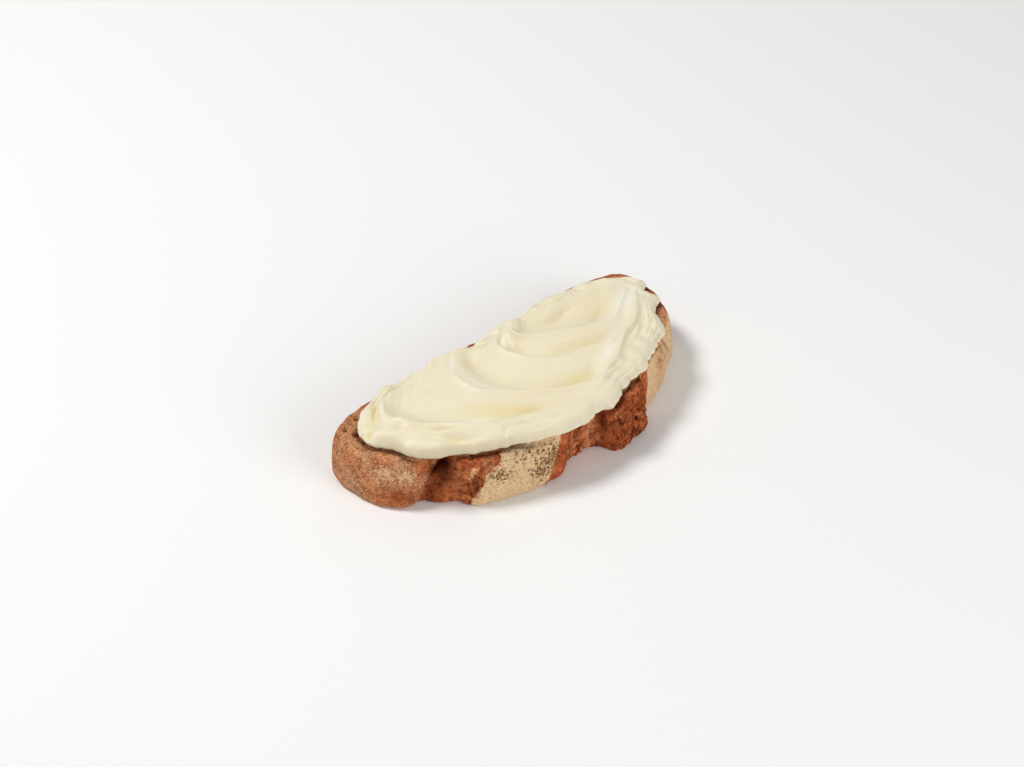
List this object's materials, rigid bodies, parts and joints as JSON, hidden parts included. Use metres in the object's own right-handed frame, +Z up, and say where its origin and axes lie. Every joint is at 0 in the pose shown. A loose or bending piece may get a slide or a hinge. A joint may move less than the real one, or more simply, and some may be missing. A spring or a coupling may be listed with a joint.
{
  "type": "bread slice with cheese spread",
  "caption": "Half-moon slice of rustic dark bread with a cracked, floury crust, covered by a thick layer of soft cheese spread laid on in overlapping knife swirls.",
  "frame": {"origin": "on the surface the slice lies on, under the middle of the box round it", "axes": "+Z up, out of the spread; +X along the slice's length; +Y towards the loaf's flat underside, so that the domed crust faces -Y"},
  "size_m": [0.1528, 0.0717, 0.0283],
  "materials": {
    "bread": "dry, grainy and matt, with flour on the crust",
    "spread": "soft satin, moist"
  },
  "bodies": {
    "root": {"bread_slice": "bread", "cheese_spread": "spread"}
  },
  "joints": []
}
